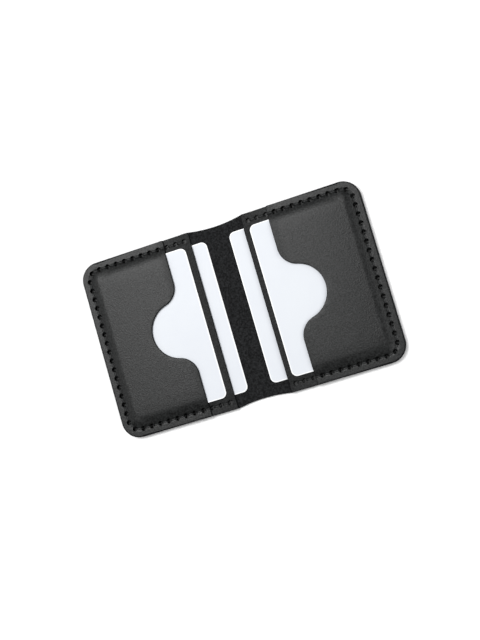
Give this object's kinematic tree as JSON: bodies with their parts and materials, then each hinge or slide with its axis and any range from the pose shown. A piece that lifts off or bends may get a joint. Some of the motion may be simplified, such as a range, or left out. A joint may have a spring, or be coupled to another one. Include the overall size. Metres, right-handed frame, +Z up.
{
  "type": "bifold card holder",
  "caption": "Open bifold leather card holder: a folding cover, stacked pockets with a thumb notch on each panel, saddle-stitched edges, and plain cards in the pockets.",
  "frame": {"origin": "on the table, under the middle of the spine, with the card holder open and its pockets up", "axes": "+X across the two panels to the right, +Y along the spine, +Z up out of the pockets"},
  "size_m": [0.163, 0.101, 0.0056],
  "materials": {
    "cover_leather": "semi-matte, fine grain",
    "pocket_leather": "semi-matte, fine grain",
    "card_plastic": "satin",
    "waxed_thread": "waxed"
  },
  "bodies": {
    "spine": {"cover_spine": "cover_leather"},
    "left_panel": {"cover_left": "cover_leather", "rear_pocket_left": "pocket_leather", "front_pocket_left": "pocket_leather", "thread_left": "waxed_thread"},
    "right_panel": {"cover_right": "cover_leather", "rear_pocket_right": "pocket_leather", "front_pocket_right": "pocket_leather", "thread_right": "waxed_thread"},
    "rear_card_left": {"rear_card_left": "card_plastic"},
    "rear_card_right": {"rear_card_right": "card_plastic"},
    "front_card_left": {"front_card_left": "card_plastic"},
    "front_card_right": {"front_card_right": "card_plastic"}
  },
  "joints": [
    {"name": "fold_left", "type": "hinge", "parent": "spine", "child": "left_panel", "pos_m": [-0.0044, 0, 0.0014], "axis": [0, 1, 0], "range_deg": [0, 90]},
    {"name": "fold_right", "type": "hinge", "parent": "spine", "child": "right_panel", "pos_m": [0.0044, 0, 0.0014], "axis": [0, -1, 0], "range_deg": [0, 90]},
    {"name": "rear_card_left_slide", "type": "slide", "parent": "left_panel", "child": "rear_card_left", "axis": [-1, 0, 0], "range_m": [-0.0066, 0.001]},
    {"name": "front_card_left_slide", "type": "slide", "parent": "left_panel", "child": "front_card_left", "axis": [-1, 0, 0], "range_m": [-0.0185, 0.0011]},
    {"name": "rear_card_right_slide", "type": "slide", "parent": "right_panel", "child": "rear_card_right", "axis": [1, 0, 0], "range_m": [-0.0056, 0.002]},
    {"name": "front_card_right_slide", "type": "slide", "parent": "right_panel", "child": "front_card_right", "axis": [1, 0, 0], "range_m": [-0.018, 0.0016]}
  ],
  "couplings": [
    {"joint": "fold_right", "follows": "fold_left", "ratio": 1}
  ]
}
